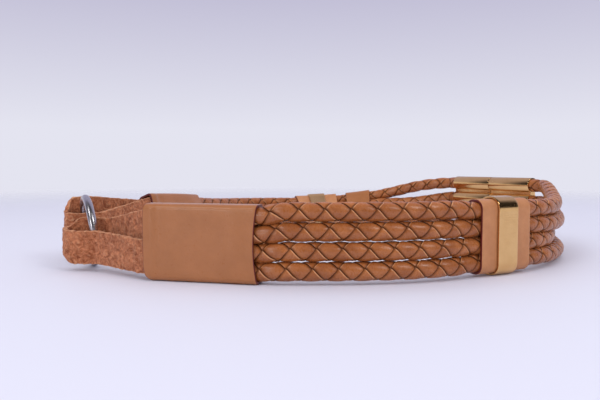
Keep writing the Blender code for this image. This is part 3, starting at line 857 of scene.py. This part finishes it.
# How high the strap's lower and upper edge are: in the wrap, at the ring's wire, at the fold's tip, inside
# the ring and back in the wrap. In the wrap they are over its foot, and elsewhere over the table.
margin = (WRAP_HEIGHT - STRAP_WIDE) / 2
front_passes = (
    (margin, margin + STRAP_NARROW - 1.0 * MM),
    (4 * MM, 20.4 * MM),
    (8.5 * MM, 21.6 * MM),
    (9.4 * MM, 9.4 * MM + STRAP_NARROW),
    (margin, margin + STRAP_WIDE),
)
back_passes = (
    (margin + 8 * MM, margin + STRAP_WIDE),
    (16 * MM, 35.6 * MM),
    (16.5 * MM, 27.5 * MM),
    (10.4 * MM, 10.4 * MM + STRAP_NARROW),
    (margin + 2 * MM, margin + STRAP_WIDE),
)
for strap, route, wire, way, fold, passes in (
    ("front", front_route, near_wire, FRONT_WAY, FRONT_FOLD, front_passes),
    ("back", back_route, far_wire, BACK_WAY, BACK_FOLD, back_passes),
):
    turn_in = heading(way - 90) if strap == "front" else heading(way + 90)
    lows, highs = suede_rows(route, wire + SHIFT, heading(way), turn_in, fold, passes)
    made = suede_strap(f"{strap}_suede", lows, highs)
    made.data.materials.append(suede)
    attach(made, f"{strap}_half")
    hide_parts(f"{strap}_suede_strap")

# --- The ring ----------------------------------------------------------------------------------------
# One round of steel wire, bent to a circle, welded and buffed. Both suede straps are folded round it, so
# it turns freely in their folds and joins the two halves of the belt.
STEEL_LIGHT, STEEL_DARK = (0.60, 0.57, 0.60, 1), (0.48, 0.455, 0.48, 1)
RING_FULL = 0.25 * MM  # how much fuller in radius the buffed wire is drawn
ring_low, ring_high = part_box("ring")
bpy.ops.object.select_all(action="DESELECT")
bpy.ops.mesh.primitive_torus_add(
    major_segments=128,
    minor_segments=28,
    major_radius=(RING_ACROSS - RING_WIRE) / 2,
    minor_radius=RING_WIRE / 2 + RING_FULL,
    location=RING_CENTRE + SHIFT + UP * ring_high[2] / 2 + UP * ring_low[2] / 2,
    rotation=(math.radians(90 - RING_TILT), 0, math.radians(RING_HEADING)),
)
ring = bpy.context.object
ring.name = "steel_ring"
bpy.ops.object.transform_apply(location=True, rotation=True, scale=True)
bpy.ops.object.shade_smooth()
steel = metal("buffed steel", STEEL_LIGHT, STEEL_DARK, roughness=0.24)
ring.data.materials.append(steel)
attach(ring, "ring")
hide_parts("ring")

# --- The clasp ---------------------------------------------------------------------------------------
# Each half is a brass casting of four barrels joined by webs, gilt and polished. The cords are glued into
# the sockets behind, and a magnet sits in the meeting face of each barrel.
CLASP_WEB = 5.0 * MM
MAGNET, MAGNET_BORE = 7 * MM, 4.6 * MM  # how wide a magnet is, and how deep its bore


def clasp_half(strap, mouth, into):
    """The casting, with its outline drawn out along the clasp, edges eased and holes bored."""
    radius = BARREL / 2
    neck = math.degrees(math.asin(CLASP_WEB / BARREL))
    right = []
    for which in range(CORDS):
        start = -90 if which == 0 else neck - 90
        stop = 90 if which == CORDS - 1 else 90 - neck
        for k in range(21):
            angle = math.radians(start + (stop - start) * k / 20)
            rise = (which - (CORDS - 1) / 2) * CLASP_PITCH
            right.append((radius * math.cos(angle), rise + radius * math.sin(angle)))
    outline = right + [(-across, height) for across, height in reversed(right[1:-1])]
    length = (CLASP_LENGTH - FIT) / 2
    side = into.cross(UP)
    base = mouth + SHIFT + UP * (CLASP_HEIGHT / 2)
    rows = [[base + into * (length * share) + side * x + UP * z for x, z in outline] for share in (0, 1)]
    made = grid_mesh(f"{strap}_clasp", rows, True)
    fill_ends(made)
    soft = made.modifiers.new("edge", "BEVEL")
    soft.width = 0.3 * MM
    soft.segments = 3
    soft.limit_method = "ANGLE"
    soft.angle_limit = math.radians(60)
    bpy.ops.object.modifier_apply(modifier=soft.name)
    turned = into.to_track_quat("Z", "Y").to_euler()
    for which in range(CORDS):
        rise = UP * ((which - (CORDS - 1) / 2) * CLASP_PITCH)
        bores = ((base, CORD + 2 * FIT, SOCKET), (base + into * length, MAGNET + 2 * FIT, MAGNET_BORE))
        for place, across, depth in bores:
            bpy.ops.object.select_all(action="DESELECT")
            bpy.ops.mesh.primitive_cylinder_add(
                vertices=48,
                radius=across / 2,
                depth=2 * depth,
                location=place + rise,
                rotation=turned,
            )
            drill = bpy.context.object
            pick(made)
            bore = made.modifiers.new("bore", "BOOLEAN")
            bore.operation = "DIFFERENCE"
            bore.object = drill
            bpy.ops.object.modifier_apply(modifier=bore.name)
            bpy.data.objects.remove(drill, do_unlink=True)
    pick(made)
    bpy.ops.object.shade_smooth_by_angle(angle=math.radians(35))
    return made


for strap, mouth, into in (("front", front_mouth, clasp_way), ("back", back_mouth, -clasp_way)):
    made = clasp_half(strap, mouth, into)
    made.data.materials.clear()
    made.data.materials.append(gold)
    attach(made, f"{strap}_half")
    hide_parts(f"{strap}_clasp_half")

# --- The magnets and the packing ---------------------------------------------------------------------
# A nickel-plated magnet disc is set into each barrel's meeting face, and a slip of rough leather lies
# between the two layers of suede in each wrap. Both keep the shapes that they have and only get a finish.
PACKING_LIGHT, PACKING_DARK = (0.30, 0.13, 0.06, 1), (0.22, 0.09, 0.04, 1)
packing = leather("packing leather", PACKING_LIGHT, PACKING_DARK, grain=1200, gloss=0.85, coat=0.0)
for name, made in frame["nodes"].items():
    if "magnet" in name or "packing" in name:
        made.data.materials.clear()
        made.data.materials.append(steel if "magnet" in name else packing)
